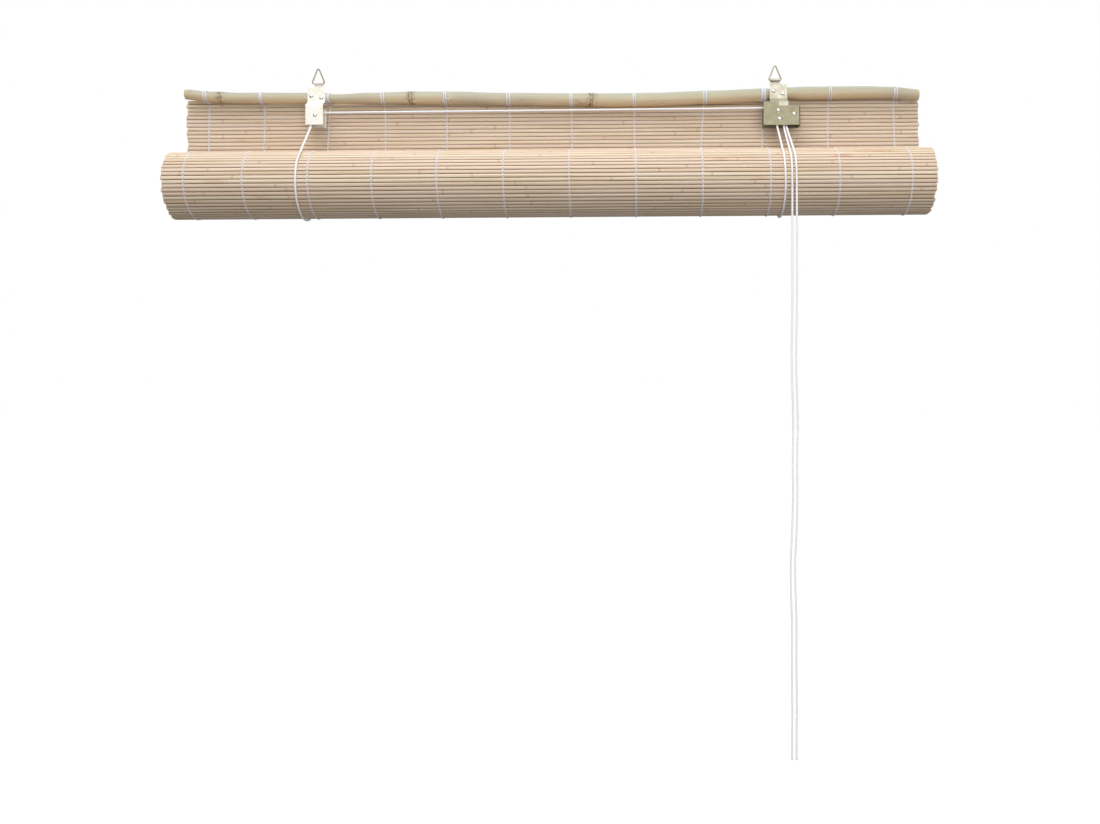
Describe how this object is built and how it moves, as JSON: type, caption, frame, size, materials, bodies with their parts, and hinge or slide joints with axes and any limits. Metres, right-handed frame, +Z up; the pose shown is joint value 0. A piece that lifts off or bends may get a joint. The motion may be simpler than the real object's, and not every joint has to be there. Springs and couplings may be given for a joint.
{
  "type": "bamboo roll-up blind",
  "caption": "Split-bamboo roll-up blind, mostly rolled up: crooked top pole on two ring brackets, cord pulley and cord lock, with twine warps, lift cords and hanging pull cords.",
  "frame": {"origin": "near the middle of the top pole, on the straight line through the two ring eyes, at the points where the wall hooks bear", "axes": "+X along the blind to its cord-lock end, +Y into the wall, +Z up"},
  "size_m": [1.008, 0.0959, 0.9179],
  "materials": {
    "bamboo_pole": "satin",
    "bamboo_splint": "satin",
    "twine": "matt",
    "braided_cord": "matt",
    "plated_sheet": "satin, yellow zinc plate",
    "wire": "satin",
    "rivet_steel": "polished",
    "nylon": "satin",
    "cam_brass": "satin"
  },
  "bodies": {
    "blind": {"top_pole": "bamboo_pole", "bottom_pole": "bamboo_pole", "mat_roll": "bamboo_splint", "splint_01": "bamboo_splint", "splint_02": "bamboo_splint", "splint_03": "bamboo_splint", "splint_04": "bamboo_splint", "splint_05": "bamboo_splint", "splint_06": "bamboo_splint", "splint_07": "bamboo_splint", "splint_08": "bamboo_splint", "splint_09": "bamboo_splint", "splint_10": "bamboo_splint", "splint_11": "bamboo_splint", "splint_12": "bamboo_splint", "splint_13": "bamboo_splint", "splint_14": "bamboo_splint", "splint_15": "bamboo_splint", "splint_16": "bamboo_splint", "splint_17": "bamboo_splint", "splint_18": "bamboo_splint", "splint_19": "bamboo_splint", "splint_20": "bamboo_splint", "splint_21": "bamboo_splint", "splint_22": "bamboo_splint", "splint_23": "bamboo_splint", "splint_24": "bamboo_splint", "warp_thread_01": "twine", "warp_thread_02": "twine", "warp_thread_03": "twine", "warp_thread_04": "twine", "warp_thread_05": "twine", "warp_thread_06": "twine", "warp_thread_07": "twine", "warp_thread_08": "twine", "warp_thread_09": "twine", "warp_thread_10": "twine", "warp_thread_11": "twine", "warp_thread_12": "twine", "left_bracket": "plated_sheet", "right_strap": "plated_sheet", "lock_housing": "plated_sheet", "left_pulley_rivet": "rivet_steel", "upper_pulley_rivet": "rivet_steel", "lower_roller_rivet": "rivet_steel", "cam_rivet": "rivet_steel", "left_screws": "rivet_steel", "right_screws": "rivet_steel", "left_lift_cord": "braided_cord", "right_lift_cord": "braided_cord", "left_pull_cord": "braided_cord", "right_pull_cord": "braided_cord"},
    "left_ring": {"left_ring": "wire"},
    "right_ring": {"right_ring": "wire"},
    "left_pulley": {"left_pulley": "nylon"},
    "upper_pulley": {"upper_pulley": "nylon"},
    "lower_roller": {"lower_roller": "wire"},
    "lock_cam": {"lock_cam": "cam_brass"}
  },
  "joints": [
    {"name": "left_ring_swing", "type": "hinge", "parent": "blind", "child": "left_ring", "pos_m": [-0.3104, 0, -0.018], "axis": [1, 0, 0], "range_deg": [-90, 120]},
    {"name": "right_ring_swing", "type": "hinge", "parent": "blind", "child": "right_ring", "pos_m": [0.3074, 0, -0.018], "axis": [1, 0, 0], "range_deg": [-90, 120]},
    {"name": "left_pulley_spin", "type": "hinge", "parent": "blind", "child": "left_pulley", "pos_m": [-0.3129, -0.00055, -0.0635], "axis": [0, 1, 0], "continuous": true},
    {"name": "upper_pulley_spin", "type": "hinge", "parent": "blind", "child": "upper_pulley", "pos_m": [0.3105, -0.00055, -0.0618], "axis": [0, 1, 0], "continuous": true},
    {"name": "lower_roller_spin", "type": "hinge", "parent": "blind", "child": "lower_roller", "pos_m": [0.3122, -0.00055, -0.0731], "axis": [0, 1, 0], "continuous": true},
    {"name": "lock_cam_swing", "type": "hinge", "parent": "blind", "child": "lock_cam", "pos_m": [0.3317, -0.00055, -0.0666], "axis": [0, -1, 0], "range_deg": [0, 35]}
  ]
}
